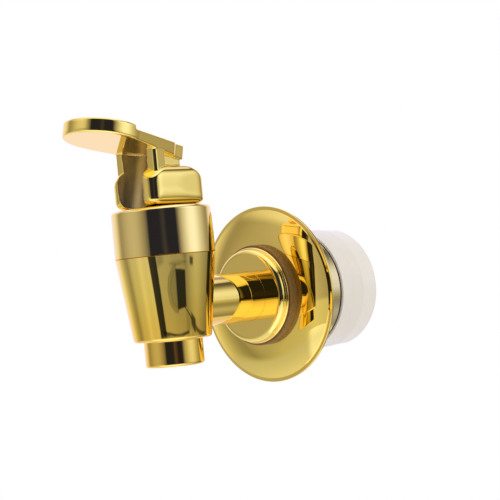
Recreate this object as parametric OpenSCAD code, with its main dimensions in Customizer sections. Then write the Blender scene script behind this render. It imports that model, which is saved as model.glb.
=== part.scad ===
// Self-closing lever tap for a drinks barrel, in millimetres.
// The origin is on the shank axis, in the plane of the flange's rim.
// +Y points into the barrel, -Y towards the user, +Z is up, and X = 0 is the middle plane.

/* [Tap body] */
// Distance from the flange's rim to the upright axis of the body
body_reach = 45.4; // [40:0.2:60]
// Radius of the body at its seam with the bonnet
body_r = 16.2; // [15:0.1:20]
// Radius at the foot of the tapered body
cone_foot_r = 12.5; // [12.2:0.1:14]
// Height of the seam over the shank's axis
seam_z = 15.7; // [15:0.1:20]
// Height of the tapered body under the seam
cone_h = 27; // [26:0.1:34]
// Outer radius of the spout
spout_r = 9.5; // [9:0.1:11.5]
// Length of the spout under the body
spout_l = 8.2; // [7:0.1:14]
// Radius of the socket in the spout's mouth
outlet_r = 7; // [6:0.1:8]
// Wall left between the valve chamber and the foot of the body
body_wall = 1.9; // [1.6:0.1:2.4]
// Thickness of the chamber's floor
floor_t = 2.5; // [2:0.1:3.5]
// Rounding of the body's lower edges
foot_round = 1; // [0.5:0.1:1.5]

/* [Shank] */
// Outer radius of the shank
shank_r = 8.35; // [8:0.05:9.5]
// Radius of the bore that feeds the valve
inlet_r = 5.5; // [4:0.1:5.7]
// Length of shank past the end of the threaded tail
shank_end = 3; // [2.6:0.1:5]
// Radius of an O-ring's section
shank_seal_r = 0.8; // [0.6:0.05:1]
// Thickness of the retaining clip
clip_t = 1.2; // [0.8:0.1:1.4]
// Width of the clip's ring
clip_w = 2.6; // [2:0.1:3]

/* [Bonnet] */
// Height of the bonnet over the seam
bonnet_h = 15.3; // [13:0.1:20]
// Thickness of the bonnet's top
bonnet_top_t = 3.5; // [3:0.1:5]
// Rounding of the bonnet's top edge
bonnet_round = 1.3; // [0.5:0.1:2]
// Length of the spigot that screws into the body
spigot_l = 7.5; // [5:0.1:8]
// Wall of the spigot
spigot_wall = 1.5; // [1.2:0.1:1.8]
// Thickness of the seal under the spigot
bonnet_seal_t = 1.2; // [0.8:0.1:1.6]

/* [Valve] */
// Radius of the stem
stem_r = 2.5; // [2:0.1:3]
// Radius of the eye at the stem's top
eye_r = 3.5; // [3:0.1:4]
// Thickness of the eye
eye_t = 5.8; // [4:0.1:6.4]
// Height of the raised valve seat over the chamber's floor
seat_h = 1; // [0.6:0.1:1.6]
// Bore of the valve seat
seat_bore_r = 5.8; // [4.5:0.1:6]
// Width of the seat's ring
seat_w = 1.6; // [1:0.1:2]
// How far the rubber plug laps over the seat's ring
plug_lap = 0.9; // [0.4:0.1:1]
// Thickness of the rubber plug
plug_t = 2.8; // [2:0.1:4]
// Thickness of the plate that backs the plug
plate_t = 1.2; // [0.8:0.1:2]
// Radius of the screw that holds the plug
plug_screw_r = 1.25; // [1:0.05:1.5]
// Outer radius of the guide's neck
guide_r = 5; // [4.6:0.1:6]
// Thickness of the guide's flange
guide_flange_t = 1.5; // [1.2:0.1:2]
// Radius of the section of the stem's O-ring
stem_seal_r = 0.85; // [0.7:0.05:0.9]
// Thickness of the washer over the spring
washer_t = 1; // [0.6:0.1:1.5]

/* [Spring] */
// Radius of the coil at the middle of the wire
coil_r = 7; // [6.4:0.1:7.4]
// Radius of the wire
wire_r = 0.6; // [0.5:0.05:0.8]
// Turns of wire
coil_turns = 6; // [4:1:8]

/* [Lever] */
// Height of the hinge pin over the bonnet's top
pin_h = 7; // [6.6:0.1:8]
// Radius of the hinge pin
pin_r = 1.75; // [1.5:0.05:2]
// Gap between the lever's foot and the bonnet
foot_gap = 0.3; // [0.2:0.05:0.5]
// Height of the lever's foot block
foot_h = 12.7; // [12.4:0.1:15]
// Half the width of the foot block
foot_half_w = 10.5; // [9.8:0.1:11.2]
// Reach of the foot block in front of the hinge pin
foot_front = 11.9; // [11.4:0.1:13]
// Reach of the foot block behind the hinge pin
foot_back = 12.1; // [11:0.1:15]
// Rounding of the foot block's upright corners
foot_corner_r = 4; // [2:0.1:4.5]
// Rounding of the foot block's upper back corner
foot_shoulder_r = 6; // [3:0.1:6.4]
// Radius of the trough down the lever's front
trough_r = 6; // [4.5:0.1:6.2]
// Lean of the trough
trough_lean = 15; // [10:1:17]
// How far the trough's axis lies in front of the foot block, at the pin's height
trough_lead = 0.9; // [0.6:0.1:2]
// Half the width of the neck at its front
neck_half_w = 9.5; // [8:0.1:9.7]
// Half the width of the neck's back rib
rib_half_w = 5; // [4:0.1:6]
// Distance of the neck's front from the hinge pin
neck_front = 9; // [8:0.1:9.6]
// Depth of the wide part of the neck
neck_depth = 5; // [4:0.1:7]
// Distance of the rib's back from the hinge pin
rib_back = 5.9; // [4:0.1:7]

/* [Press pad] */
// Radius of the pad
pad_r = 12.7; // [11:0.1:15]
// Thickness of the pad
pad_t = 4.7; // [4:0.1:6]
// Distance from the body's axis to the pad's centre
pad_reach = 21.4; // [19:0.1:24]
// Height of the pad's underside over the bonnet, at its centre
pad_h = 21.4; // [21:0.1:24]
// Tilt of the pad and arm, front edge up
pad_tilt = 12.8; // [8:0.2:14]
// Rounding of the pad's edges
pad_round = 0.7; // [0.3:0.1:1.2]
// Thickness of the arm where it leaves the pad
arm_t = 3.2; // [2.6:0.1:3.8]
// Thickness of the arm at its end
arm_end_t = 4.6; // [3.8:0.1:5.4]
// Half the width of the arm where it leaves the pad
arm_root_half_w = 12.3; // [11:0.1:12.4]
// Half the width of the arm at its shoulders
arm_tail_half_w = 7.2; // [6:0.1:8]
// Half the width of the tab at the arm's end
tab_half_w = 5.4; // [4:0.1:6]
// Distance from the pad's centre to the arm's shoulders
arm_l = 23.6; // [22.6:0.1:26]
// Length of the tab past the shoulders
tab_l = 6; // [4:0.1:7]

/* [Flange] */
// Radius of the flange
flange_r = 30; // [28:0.2:36]
// Rise of the flange's dome from its rim to the collar
dome_h = 4.2; // [3.6:0.1:6]
// Thickness of the flange's rim
rim_t = 0.9; // [0.7:0.1:1.4]
// Width of the flat seat round the flange's back
seat_ring_w = 3.5; // [2:0.1:6]
// Depth of the hollow behind the dome
hollow_d = 1.5; // [0.8:0.1:2]
// Radius of the barrel behind the flange
barrel_r = 20; // [19:0.1:22]
// Length of the barrel behind the flange
barrel_l = 15.5; // [12:0.5:20]
// Radius of the threaded tail, over its thread
tail_r = 14; // [12:0.1:15]
// Length of tail that stands free behind the nut
tail_free = 6.4; // [6.2:0.1:12]

/* [Collar] */
// Radius of the front collar
collar_r = 16.25; // [15:0.05:18]
// Thickness of the front collar
collar_t = 3.6; // [2.5:0.1:5]
// Rounding of the collar's front edge
collar_round = 1.8; // [0.8:0.1:2.2]
// How far the ring behind the collar stands proud of it
ring_step = 0.75; // [0.2:0.05:1.5]
// Thickness of the ring behind the collar
ring_t = 2.8; // [2:0.1:4]

/* [Gaskets and nut] */
// Thickness of one gasket
gasket_t = 5.25; // [3:0.05:6]
// Outer radius of the gaskets and the nut
gasket_r = 20.7; // [19:0.1:22]
// Rounding of the gaskets' edges
gasket_round = 0.25; // [0.1:0.05:0.5]
// Length of the nut
nut_l = 8.1; // [7:0.1:12]
// Rounding of the nut's back edge
nut_round = 2; // [1:0.1:2.5]
// Depth of the two grip flats on the nut
nut_flat_d = 0.7; // [0.3:0.1:1.2]

/* [Fits] */
// Radial clearance of parts that turn or slide on each other
run_fit = 0.05; // [0.02:0.01:0.1]
// Side clearance of the eye in the lever
side_gap = 0.3; // [0.2:0.05:0.5]
// Radial clearance of the nut and gaskets on the threaded tail
thread_fit = 0.08; // [0.04:0.01:0.1]

/* [Hidden] */
$fn = 96;
eps = 0.01;
gold = "#d8b24c";
bronze = "#8d6a35";
steel = "#b9bcc0";
nylon = "#e9e6dc";
silicone = "#e8e4dc";
black_rubber = "#2b2b2b";

// Upright axis of the body and the levels along it
axis_y = -body_reach;
cone_foot_z = seam_z - cone_h;
spout_foot_z = cone_foot_z - spout_l;
floor_z = cone_foot_z + floor_t;
seat_z = floor_z + seat_h;
bonnet_top_z = seam_z + bonnet_h;
ceiling_z = bonnet_top_z - bonnet_top_t;
spigot_foot_z = seam_z - spigot_l;
ledge_z = spigot_foot_z - bonnet_seal_t;
chamber_r = cone_foot_r - body_wall;
// The spigot's bore is wider than the chamber by this much, all round
bore_step = 0.5;
spigot_r = chamber_r + spigot_wall + bore_step;
bonnet_bore_r = spigot_r - spigot_wall;
// The socket in the spout ends this far below the foot of the taper
socket_stop = 0.5;
outlet_socket_l = spout_l - socket_stop;

// Levels of the valve parts, from the seat up
seat_ring_r = seat_bore_r + seat_w;
plug_r = seat_ring_r + plug_lap - 0.1;
plug_round = 0.6;
plate_r = coil_r + wire_r + 0.3;
plug_top_z = seat_z + plug_t;
plate_top_z = plug_top_z + plate_t;
stem_foot_t = 1.5;
stem_foot_r = 4.5;
screw_depth = 6;
screw_head_r = 3.2;
screw_head_t = 1.6;
screw_chamfer = 0.5;
screw_hole_r = plug_screw_r + run_fit;
guide_bore_r = stem_r + run_fit;
guide_flange_r = coil_r + wire_r + 0.4;
guide_foot_z = ceiling_z - guide_flange_t;
pocket_play = 0.1;
guide_pocket_h = 2 * (stem_seal_r + pocket_play);
guide_pocket_r = guide_bore_r + 2 * stem_seal_r + pocket_play;
// The guide's neck ends this far below the bonnet's top
guide_recess = 0.4;
washer_foot_z = guide_foot_z - washer_t;
spring_play = 0.03;

// Lever, laid out from the hinge pin
pin_z = bonnet_top_z + pin_h;
foot_z0 = bonnet_top_z + foot_gap;
foot_z1 = foot_z0 + foot_h;
pin_bore_r = pin_r + run_fit;
// Wall that closes the pin's bore, the pin's gap to it, and how deep its open end lies
pin_wall = 2.2;
pin_play = 0.3;
pin_sunk = 0.5;
pin_blind_x = foot_half_w - pin_wall;
pin_open_x = -foot_half_w + pin_sunk;
eye_slot_half_w = eye_t / 2 + side_gap;
eye_slot_r = eye_r + 0.5;
// The eye's room opens downwards by this much in front of the stem and behind it
slot_front = 3.1;
slot_back = 1.7;
// Corner radii of the foot block, seen from the side and from the front
foot_low_front_r = 3.4;
foot_low_back_r = 2.4;
foot_top_front_r = 4;
foot_low_edge_r = 3;
foot_top_edge_r = 3.4;
foot_low_round = 3.4;
foot_top_round = 5;
foot_cushion_r = 14.7;
// The neck starts this far inside the foot block
neck_sunk = 4;
// Chamfer down the neck's front corners, and the step from its wide part to the rib
neck_chamfer = 0.7;
neck_chamfer_l = 0.9;
rib_step = 0.8;
rib_taper = 0.5;
// Where the arm leaves the pad, and the slope from its shoulders to the tab
arm_root_y = 2.8;
tab_corner = 0.9;
shoulder_l = 1.6;
pad_y = axis_y - pad_reach;
pad_under_z = bonnet_top_z + pad_h;

// Stations along the shank's axis
// The dome's crown stands this far in front of its rise, under the ring
crown_step = 0.6;
collar_foot_y = -dome_h - ring_t + crown_step;
collar_face_y = collar_foot_y - collar_t;
ring_r = collar_r + ring_step;
ring_foot_y = collar_foot_y + ring_t;
gasket0_y = barrel_l;
gasket1_y = gasket0_y + gasket_t;
nut_y = gasket1_y + gasket_t;
nut_end_y = nut_y + nut_l;
tail_end_y = nut_end_y + tail_free;
shank_end_y = tail_end_y + shank_end;
clip_play = 0.05;
clip_y = tail_end_y + clip_play;
clip_groove_r = shank_r - 0.9;
clip_gap = 8;
shank_bore_r = shank_r + run_fit;
seal_play = 0.02;
shank_seal_groove_r = shank_r + run_fit - 2 * (shank_seal_r + seal_play);
shank_seal_ring_r = shank_seal_groove_r + shank_seal_r + seal_play;
shank_seal_side = 0.1;
shank_seal_ys = [barrel_l * 0.6, nut_end_y - 2];
tail_bore_r = tail_r + thread_fit;
tail_chamfer = 0.8;
bead_r = 0.55;
// The dome's crown is wider than the ring by this much, and it falls off by this power towards the rim
crown_w = 0.4;
dome_power = 1.8;
// The hollow behind the dome is cut this wide of the barrel, and slopes in over this width
hollow_gap = 1;
hollow_slope_w = 1.5;
hollow_slope_d = 0.7 * min(hollow_d, rim_t);

// Points of an arc round [cx, cy], from angle a0 to a1
function arc(cx, cy, r, a0, a1, n = 8) =
    [for (i = [0 : n]) let (a = a0 + (a1 - a0) * i / n) [cx + r * cos(a), cy + r * sin(a)]];

// Turns a profile of [radius, height] round the body's upright axis
module turned_upright() {
    translate([0, axis_y, 0]) rotate_extrude() children();
}

// Turns a profile of [radius, distance] round the shank's axis, distance running along +Y
module turned_on_shank() {
    rotate([-90, 0, 0]) rotate_extrude() children();
}

// A flat ring on the shank's axis, from y0 to y1
module shank_ring(inner, outer, y0, y1) {
    turned_on_shank() translate([inner, y0]) square([outer - inner, y1 - y0]);
}

// A flat ring on the body's axis, from z0 to z1
module upright_ring(inner, outer, z0, z1) {
    turned_upright() translate([inner, z0]) square([outer - inner, z1 - z0]);
}

// A rectangle with four corner radii, made of squares and circles so that its arcs stay true
module rounded_rect(x0, y0, x1, y1, bl, br, tr, tl) {
    difference() {
        translate([x0, y0]) square([x1 - x0, y1 - y0]);
        corner_cut(x0, y0, 1, 1, bl);
        corner_cut(x1, y0, -1, 1, br);
        corner_cut(x1, y1, -1, -1, tr);
        corner_cut(x0, y1, 1, -1, tl);
    }
}

// What a rounding of radius r takes off a corner at [x, y]
module corner_cut(x, y, dx, dy, r) {
    translate([x, y]) scale([dx, dy]) difference() {
        translate([-1, -1]) square(r + 1);
        translate([r, r]) circle(r, $fn = 48);
    }
}

// Extrudes a profile drawn in [Y, Z] along X
module across(x0, x1) {
    translate([x0, 0, 0]) rotate([90, 0, 90]) linear_extrude(x1 - x0) children();
}

// Extrudes a profile drawn in [X, Z] along Y
module along(y0, y1) {
    translate([0, y1, 0]) rotate([90, 0, 0]) linear_extrude(y1 - y0) children();
}

// Body, spout and shank, cast in one
module tap_body() {
    color(gold) difference() {
        union() {
            turned_upright() polygon(concat(
                [[0, spout_foot_z]],
                arc(spout_r - foot_round, spout_foot_z + foot_round, foot_round, -90, 0),
                [[spout_r, cone_foot_z]],
                arc(cone_foot_r - foot_round, cone_foot_z + foot_round, foot_round, -90, 0),
                [[body_r, seam_z], [0, seam_z]]));
            rotate([-90, 0, 0]) translate([0, 0, axis_y]) cylinder(r = shank_r, h = shank_end_y - axis_y);
        }
        turned_upright() polygon([
            [0, seam_z + 1], [spigot_r, seam_z + 1], [spigot_r, ledge_z], [chamber_r, ledge_z],
            [chamber_r, floor_z], [seat_ring_r, floor_z], [seat_ring_r, seat_z], [seat_bore_r, seat_z],
            [seat_bore_r, spout_foot_z + outlet_socket_l], [outlet_r, spout_foot_z + outlet_socket_l],
            [outlet_r, spout_foot_z - 1], [0, spout_foot_z - 1],
        ]);
        rotate([-90, 0, 0]) translate([0, 0, axis_y]) cylinder(r = inlet_r, h = shank_end_y - axis_y + 1);
        for (y = shank_seal_ys)
            shank_ring(shank_seal_groove_r, shank_r + 1, y - shank_seal_r - shank_seal_side,
                y + shank_seal_r + shank_seal_side);
        shank_ring(clip_groove_r, shank_r + 1, clip_y - clip_play, clip_y + clip_t + 2 * clip_play);
    }
}

// Cap over the valve chamber, with the spigot that screws into the body
module bonnet() {
    color(gold) difference() {
        turned_upright() polygon(concat(
            [[0, spigot_foot_z], [spigot_r - run_fit, spigot_foot_z], [spigot_r - run_fit, seam_z]],
            [[body_r, seam_z]],
            arc(body_r - bonnet_round, bonnet_top_z - bonnet_round, bonnet_round, 0, 90),
            [[0, bonnet_top_z]]));
        turned_upright() polygon([
            [0, spigot_foot_z - 1], [bonnet_bore_r, spigot_foot_z - 1], [bonnet_bore_r, ceiling_z],
            [guide_r, ceiling_z], [guide_r, bonnet_top_z + 1], [0, bonnet_top_z + 1],
        ]);
    }
}

// Flat seal squeezed between the spigot's foot and the ledge in the body
module bonnet_seal() {
    color(black_rubber) upright_ring(bonnet_bore_r, spigot_r - run_fit, ledge_z, spigot_foot_z);
}

// Flanged bush that guides the stem through the bonnet, with a pocket for its O-ring
module stem_guide() {
    color(nylon) difference() {
        union() {
            upright_ring(0, guide_r - eps, ceiling_z - eps, bonnet_top_z - guide_recess);
            upright_ring(0, guide_flange_r, guide_foot_z, ceiling_z);
        }
        upright_ring(0, guide_bore_r, guide_foot_z - 1, bonnet_top_z + 1);
        upright_ring(0, guide_pocket_r, guide_foot_z - 1, guide_foot_z + guide_pocket_h);
    }
}

// O-ring round the stem
module stem_seal() {
    color(black_rubber) turned_upright()
        translate([guide_bore_r + stem_seal_r, guide_foot_z + guide_pocket_h / 2])
            circle(stem_seal_r, $fn = 24);
}

// Washer that keeps the O-ring in and seats the spring
module spring_washer() {
    color(steel) upright_ring(guide_bore_r, guide_flange_r, washer_foot_z, guide_foot_z);
}

// Valve stem: foot, rod and the eye for the hinge pin
module stem() {
    color(steel) difference() {
        union() {
            upright_ring(0, stem_foot_r, plate_top_z, plate_top_z + stem_foot_t);
            upright_ring(0, stem_r, plate_top_z, pin_z);
            across(-eye_t / 2, eye_t / 2) translate([axis_y, pin_z]) circle(eye_r);
        }
        across(-eye_t, eye_t) translate([axis_y, pin_z]) circle(pin_r + eps);
        upright_ring(0, screw_hole_r, plate_top_z - 1, plate_top_z + screw_depth);
    }
}

// Rubber plug that closes the seat
module seat_plug() {
    color(silicone) turned_upright() polygon(concat(
        [[screw_hole_r, seat_z], [plug_r - plug_round, seat_z]],
        arc(plug_r - plug_round, seat_z + plug_round, plug_round, -90, 0, 4),
        [[plug_r, plug_top_z - plug_round], [plug_r - plug_round, plug_top_z], [screw_hole_r, plug_top_z]]));
}

// Plate that backs the plug and carries the spring's foot
module plug_plate() {
    color(steel) upright_ring(screw_hole_r, plate_r, plug_top_z, plate_top_z);
}

// Screw that holds plug and plate to the stem
module plug_screw() {
    color(steel) union() {
        upright_ring(0, plug_screw_r, seat_z - eps, plate_top_z + screw_depth - 1);
        turned_upright() polygon([
            [0, seat_z], [screw_head_r, seat_z], [screw_head_r, seat_z - screw_head_t + screw_chamfer],
            [screw_head_r - screw_chamfer, seat_z - screw_head_t], [0, seat_z - screw_head_t],
        ]);
    }
}

// Compression spring: rings of wire section swept up a helix
coil_steps = 14;
wire_sides = 6;
coil_z0 = plate_top_z + wire_r + spring_play;
coil_z1 = washer_foot_z - wire_r - spring_play;
coil_rings = coil_turns * coil_steps;
coil_flat_turns = 0.8;
// Height of the wire at t of its length: its end turns lie flat
function coil_level(t) = let (flat = coil_flat_turns / coil_turns)
    coil_z0 + (coil_z1 - coil_z0) * min(1, max(0, (t - flat) / (1 - 2 * flat)));
function coil_point(i, j) =
    let (t = i / coil_rings, a = 360 * coil_turns * t, b = 360 * j / wire_sides, r = coil_r + wire_r * cos(b))
    [r * cos(a), axis_y + r * sin(a), coil_level(t) + wire_r * sin(b)];

module return_spring() {
    color(steel) polyhedron(
        points = [for (i = [0 : coil_rings]) for (j = [0 : wire_sides - 1]) coil_point(i, j)],
        faces = concat(
            [[for (j = [0 : wire_sides - 1]) j]],
            [[for (j = [wire_sides - 1 : -1 : 0]) coil_rings * wire_sides + j]],
            [for (i = [0 : coil_rings - 1]) for (j = [0 : wire_sides - 1])
                let (k = (j + 1) % wire_sides)
                [i * wire_sides + j, (i + 1) * wire_sides + j,
                 (i + 1) * wire_sides + k, i * wire_sides + k]]),
        convexity = 10);
}

// Pin that hinges the lever on the stem's eye, pushed in from the -X side
module hinge_pin() {
    color(steel) across(pin_open_x, pin_blind_x - pin_play) translate([axis_y, pin_z]) circle(pin_r);
}

// Places the lever's flat top parts: [0, 0, 0] is the middle of the pad's underside
module pad_plane() {
    translate([0, pad_y, pad_under_z]) rotate([-pad_tilt, 0, 0]) children();
}

// Round press pad with softened edges, level with the arm's top behind the step
module press_pad() {
    difference() {
        rotate_extrude() rounded_pad_half();
        translate([-2 * pad_r, arm_root_y, arm_t]) cube([4 * pad_r, 2 * pad_r, pad_t]);
    }
}

module rounded_pad_half() {
    difference() {
        square([pad_r, pad_t]);
        corner_cut(pad_r, 0, -1, 1, pad_round);
        corner_cut(pad_r, pad_t, -1, -1, pad_round);
    }
}

// Tapered arm from the pad to the tab at its end, thicker towards the tab
module press_arm() {
    end_y = arm_l + tab_l;
    intersection() {
        linear_extrude(arm_end_t) polygon([
            [-arm_root_half_w, arm_root_y], [arm_root_half_w, arm_root_y],
            [arm_tail_half_w, arm_l], [tab_half_w, arm_l + shoulder_l],
            [tab_half_w, end_y - tab_corner], [tab_half_w - tab_corner, end_y],
            [tab_corner - tab_half_w, end_y], [-tab_half_w, end_y - tab_corner],
            [-tab_half_w, arm_l + shoulder_l], [-arm_tail_half_w, arm_l],
        ]);
        across(-arm_root_half_w, arm_root_half_w)
            polygon([[arm_root_y, 0], [end_y, 0], [end_y, arm_end_t], [arm_root_y, arm_t]]);
    }
}

// Turned outline that rounds the foot block's four corners like cushions
module foot_cushion() {
    translate([0, axis_y + (foot_back - foot_front) / 2, 0]) rotate_extrude() difference() {
        translate([0, foot_z0]) square([foot_cushion_r, foot_h]);
        corner_cut(foot_cushion_r, foot_z0, -1, 1, foot_low_round);
        corner_cut(foot_cushion_r, foot_z1, -1, -1, foot_top_round);
    }
}

// Foot block that rocks on the bonnet: four rounded outlines, crossed
module lever_foot() {
    y0 = axis_y - foot_front;
    y1 = axis_y + foot_back;
    w = foot_half_w;
    intersection() {
        across(-w, w) rounded_rect(y0, foot_z0, y1, foot_z1,
            foot_low_front_r, foot_low_back_r, foot_shoulder_r, foot_top_front_r);
        translate([0, 0, foot_z0]) linear_extrude(foot_h)
            rounded_rect(-w, y0, w, y1, foot_corner_r, foot_corner_r, foot_corner_r, foot_corner_r);
        along(y0, y1) rounded_rect(-w, foot_z0, w, foot_z1,
            foot_low_edge_r, foot_low_edge_r, foot_top_edge_r, foot_top_edge_r);
        foot_cushion();
    }
}

// Neck between the foot block and the arm, wide in front with a rib behind
module lever_neck() {
    y0 = axis_y - neck_front;
    y1 = y0 + neck_depth;
    y2 = axis_y + rib_back;
    w = neck_half_w;
    inner = w - neck_chamfer;
    intersection() {
        translate([0, 0, foot_z1 - neck_sunk]) linear_extrude(pad_h + pad_t) polygon([
            [-inner, y0], [inner, y0], [w, y0 + neck_chamfer_l], [inner, y1],
            [rib_half_w + rib_taper, y1 + rib_step], [rib_half_w, y2],
            [-rib_half_w, y2], [-rib_half_w - rib_taper, y1 + rib_step],
            [-inner, y1], [-w, y0 + neck_chamfer_l],
        ]);
        pad_plane() translate([-2 * pad_r, -2 * pad_r, -pad_h])
            cube([4 * pad_r, 6 * pad_r, pad_h + arm_t / 2]);
    }
}

// Hollow up the front of the foot and neck
module lever_trough() {
    translate([0, axis_y - foot_front - trough_lead, pin_z]) rotate([-trough_lean, 0, 0])
        translate([0, 0, -2 * foot_h]) cylinder(r = trough_r, h = 2 * foot_h + pad_h);
}

// Room inside the foot for the stem's eye, widened towards the front so that the lever can tilt
module eye_slot() {
    across(-eye_slot_half_w, eye_slot_half_w) translate([axis_y, pin_z]) {
        circle(eye_slot_r);
        polygon([[-eye_r, 0], [-stem_r - slot_front, -pin_h], [stem_r + slot_back, -pin_h], [eye_r, 0]]);
    }
}

// Lever, cast in one: foot block, neck, arm and pad
module lever() {
    color(gold) union() {
        difference() {
            union() {
                lever_foot();
                lever_neck();
            }
            lever_trough();
            eye_slot();
            across(-foot_half_w - 1, pin_blind_x) translate([axis_y, pin_z]) circle(pin_bore_r);
        }
        pad_plane() {
            press_pad();
            press_arm();
        }
    }
}

// Round collar against the ring, with a softened front edge and a bead round it
module collar() {
    color(gold) turned_on_shank() polygon(concat(
        [[shank_bore_r, collar_foot_y], [shank_bore_r, collar_face_y]],
        arc(collar_r - collar_round - bead_r, collar_face_y + collar_round, collar_round, -90, 0),
        [[collar_r - bead_r, collar_foot_y - 2 * bead_r]],
        arc(collar_r - bead_r, collar_foot_y - bead_r, bead_r, -90, 90)));
}

// Dark ring between the collar and the dome of the flange
module collar_ring() {
    color(bronze) shank_ring(shank_bore_r, ring_r, collar_foot_y, ring_foot_y);
}

// Flange dome, barrel and threaded tail, cast in one
module flange() {
    seat_in_r = flange_r - seat_ring_w;
    groove_r = barrel_r + hollow_gap;
    color(gold) difference() {
        turned_on_shank() polygon(concat(
            [[shank_bore_r, ring_foot_y], [ring_r + crown_w, ring_foot_y]],
            dome_outline(ring_r + crown_w, flange_r - rim_t / 2),
            arc(flange_r - rim_t / 2, -rim_t / 2, rim_t / 2, -90, 90, 6),
            [[barrel_r, 0], [barrel_r, barrel_l], [tail_r, barrel_l], [tail_r, tail_end_y - tail_chamfer],
             [tail_r - tail_chamfer, tail_end_y], [shank_bore_r, tail_end_y]]));
        turned_on_shank() polygon([
            [groove_r, 1], [groove_r, -hollow_d], [seat_in_r - hollow_slope_w, -hollow_slope_d],
            [seat_in_r, 0], [seat_in_r, 1],
        ]);
    }
}

// Points on the dome's front, steeper towards the rim
function dome_outline(r0, r1, n = 12) = [for (i = [1 : n - 1]) let (t = i / n)
    [r0 + (r1 - r0) * t, ring_foot_y + (-rim_t - ring_foot_y) * pow(t, dome_power)]];

// O-ring in a groove of the shank
module shank_seal(y) {
    color(black_rubber) turned_on_shank() translate([shank_seal_ring_r, y]) circle(shank_seal_r, $fn = 24);
}

// Open retaining ring behind the tail, which keeps the shank in the flange
module shank_clip() {
    color(steel) difference() {
        shank_ring(clip_groove_r + run_fit, clip_groove_r + clip_w, clip_y, clip_y + clip_t);
        translate([-clip_gap / 2, clip_y - 1, -2 * shank_r]) cube([clip_gap, clip_t + 2, 2 * shank_r]);
    }
}

// Soft gasket on the threaded tail, from y to y + gasket_t
module gasket(y) {
    color(silicone, 0.8) turned_on_shank() difference() {
        translate([tail_bore_r, y]) square([gasket_r - tail_bore_r, gasket_t]);
        corner_cut(gasket_r, y, -1, 1, gasket_round);
        corner_cut(gasket_r, y + gasket_t, -1, -1, gasket_round);
    }
}

// Nut with a rounded back edge and two shallow grip flats
module lock_nut() {
    flat_z = gasket_r - nut_flat_d;
    color(silicone, 0.9) difference() {
        turned_on_shank() difference() {
            translate([tail_bore_r, nut_y]) square([gasket_r - tail_bore_r, nut_l]);
            corner_cut(gasket_r, nut_end_y, -1, -1, nut_round);
            corner_cut(gasket_r, nut_y, -1, 1, gasket_round);
        }
        for (side = [-1, 1])
            translate([-gasket_r, nut_y + nut_l / 3, side * (flat_z + gasket_r) - gasket_r])
                cube([2 * gasket_r, nut_l, 2 * gasket_r]);
    }
}

tap_body();
bonnet();
bonnet_seal();
stem_guide();
stem_seal();
spring_washer();
stem();
seat_plug();
plug_plate();
plug_screw();
return_spring();
hinge_pin();
lever();
collar();
collar_ring();
flange();
shank_seal(shank_seal_ys[0]);  // shank_seal_front
shank_seal(shank_seal_ys[1]);  // shank_seal_back
shank_clip();
gasket(gasket0_y);  // front_gasket
gasket(gasket1_y);  // back_gasket
lock_nut();
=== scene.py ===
"""Looks of a gold-plated lever tap for a drinks barrel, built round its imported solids.

Metres, +Y into the barrel, +Z up. The origin is on the shank's axis, in the plane of the flange's rim.
"""
import math

import bmesh
import bpy
from mathutils import Matrix, Vector


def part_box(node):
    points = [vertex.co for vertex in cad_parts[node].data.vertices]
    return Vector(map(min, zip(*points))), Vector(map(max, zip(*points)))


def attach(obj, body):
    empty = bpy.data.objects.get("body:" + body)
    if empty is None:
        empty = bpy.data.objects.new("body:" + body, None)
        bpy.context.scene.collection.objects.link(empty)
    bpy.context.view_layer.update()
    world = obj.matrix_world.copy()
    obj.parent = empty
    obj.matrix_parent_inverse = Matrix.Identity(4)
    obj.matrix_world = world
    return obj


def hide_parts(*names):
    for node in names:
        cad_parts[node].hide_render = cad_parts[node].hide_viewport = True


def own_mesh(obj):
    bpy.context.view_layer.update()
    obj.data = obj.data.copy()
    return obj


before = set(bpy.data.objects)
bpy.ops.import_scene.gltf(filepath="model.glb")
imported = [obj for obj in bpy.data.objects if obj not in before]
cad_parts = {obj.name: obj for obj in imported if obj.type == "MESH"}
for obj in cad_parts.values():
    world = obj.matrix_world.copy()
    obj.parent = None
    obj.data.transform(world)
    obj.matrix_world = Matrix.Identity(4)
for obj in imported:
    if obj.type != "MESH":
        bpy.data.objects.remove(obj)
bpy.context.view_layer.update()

MM = 0.001
TURN = 2 * math.pi
DEGREES = 360 / TURN

# Places that the solids give
BODY_LOW, BODY_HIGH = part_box("tap_body")
BONNET_LOW, BONNET_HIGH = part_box("bonnet")
FLANGE_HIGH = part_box("flange")[1]
COLLAR_LOW, COLLAR_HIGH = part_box("collar")
RING_LOW, RING_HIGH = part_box("collar_ring")
FRONT_GASKET_LOW, FRONT_GASKET_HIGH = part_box("front_gasket")
BACK_GASKET_LOW, BACK_GASKET_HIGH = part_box("back_gasket")
NUT_LOW, NUT_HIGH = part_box("lock_nut")
PIN_LOW, PIN_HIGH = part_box("hinge_pin")
SPRING_LOW, SPRING_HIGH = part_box("return_spring")
CLIP_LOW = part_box("shank_clip")[0]
AXIS_Y = (BONNET_LOW.y + BONNET_HIGH.y) / 2
BONNET_TOP = BONNET_HIGH.z
SEAM_Z = BODY_HIGH.z
PIN_Z = (PIN_LOW.z + PIN_HIGH.z) / 2

# Outline of the body and spout
BODY_R = BONNET_HIGH.x
CONE_FOOT_R = 12.5 * MM
CONE_FOOT_Z = -11.3 * MM
SPOUT_R = 9.5 * MM
SPOUT_FOOT_Z = BODY_LOW.z
OUTLET_R = 7.0 * MM
OUTLET_DEPTH = 7.7 * MM
SEAT_BORE_R = 5.8 * MM
SEAT_Z = -7.8 * MM
CHAMBER_R = 10.6 * MM
SHANK_R = 8.35 * MM
INLET_R = 5.5 * MM
SEAM_GAP = 0.13 * MM

# Tail behind the flange, and the hole in the gaskets and the nut on it
TAIL_R = 14.0 * MM
TAIL_HOLE_R = 14.08 * MM

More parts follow.
